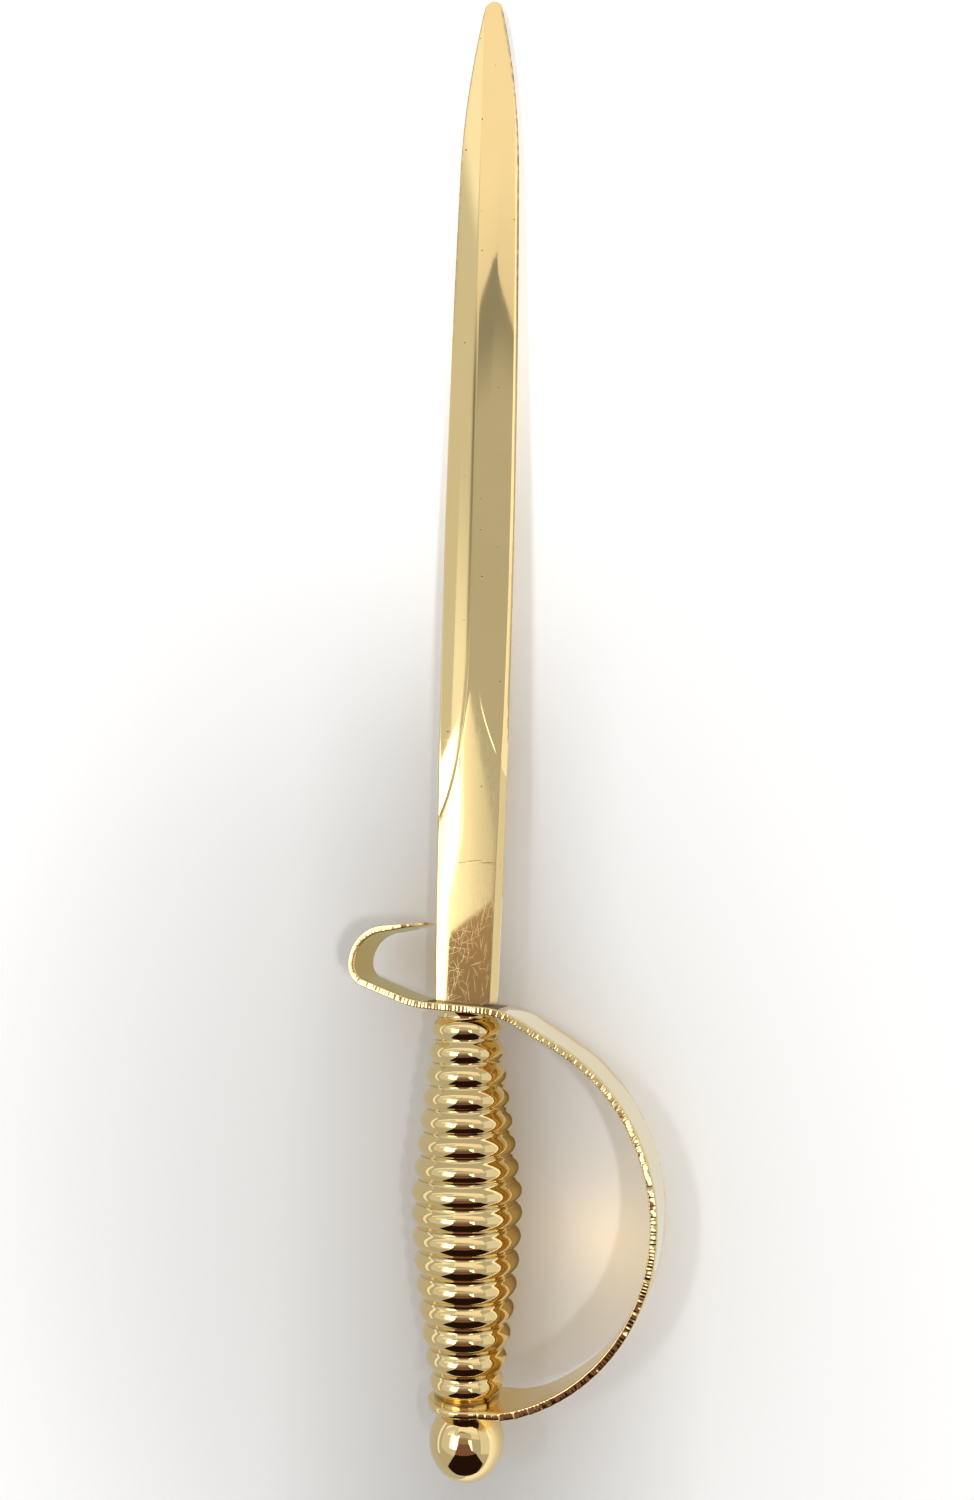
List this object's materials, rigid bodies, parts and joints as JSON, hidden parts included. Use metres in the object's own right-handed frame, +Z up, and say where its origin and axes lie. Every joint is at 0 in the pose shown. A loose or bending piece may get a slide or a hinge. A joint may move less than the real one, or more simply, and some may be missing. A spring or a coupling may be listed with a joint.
{
  "type": "letter opener",
  "caption": "Sabre-shaped letter opener with a ground double-edged blade, bent strip guard with knuckle bow and curl, beaded grip and ball pommel.",
  "frame": {"origin": "middle of the footprint, on the table the opener lies on", "axes": "+Y along the handle towards the blade tip, +X towards the knuckle bow, +Z up from the table; the blade's face looks up, rolled and pitched as the opener lies at rest"},
  "size_m": [0.0434, 0.2238, 0.0156],
  "materials": {
    "plated_blade": "polished gold plate with fine scratches",
    "plated_strip": "polished gold plate on sheared strip",
    "plated_turning": "mirror-polished gold plate"
  },
  "bodies": {
    "root": {"blade": "plated_blade", "hand_guard": "plated_strip", "grip": "plated_turning", "pommel": "plated_turning"}
  },
  "joints": []
}
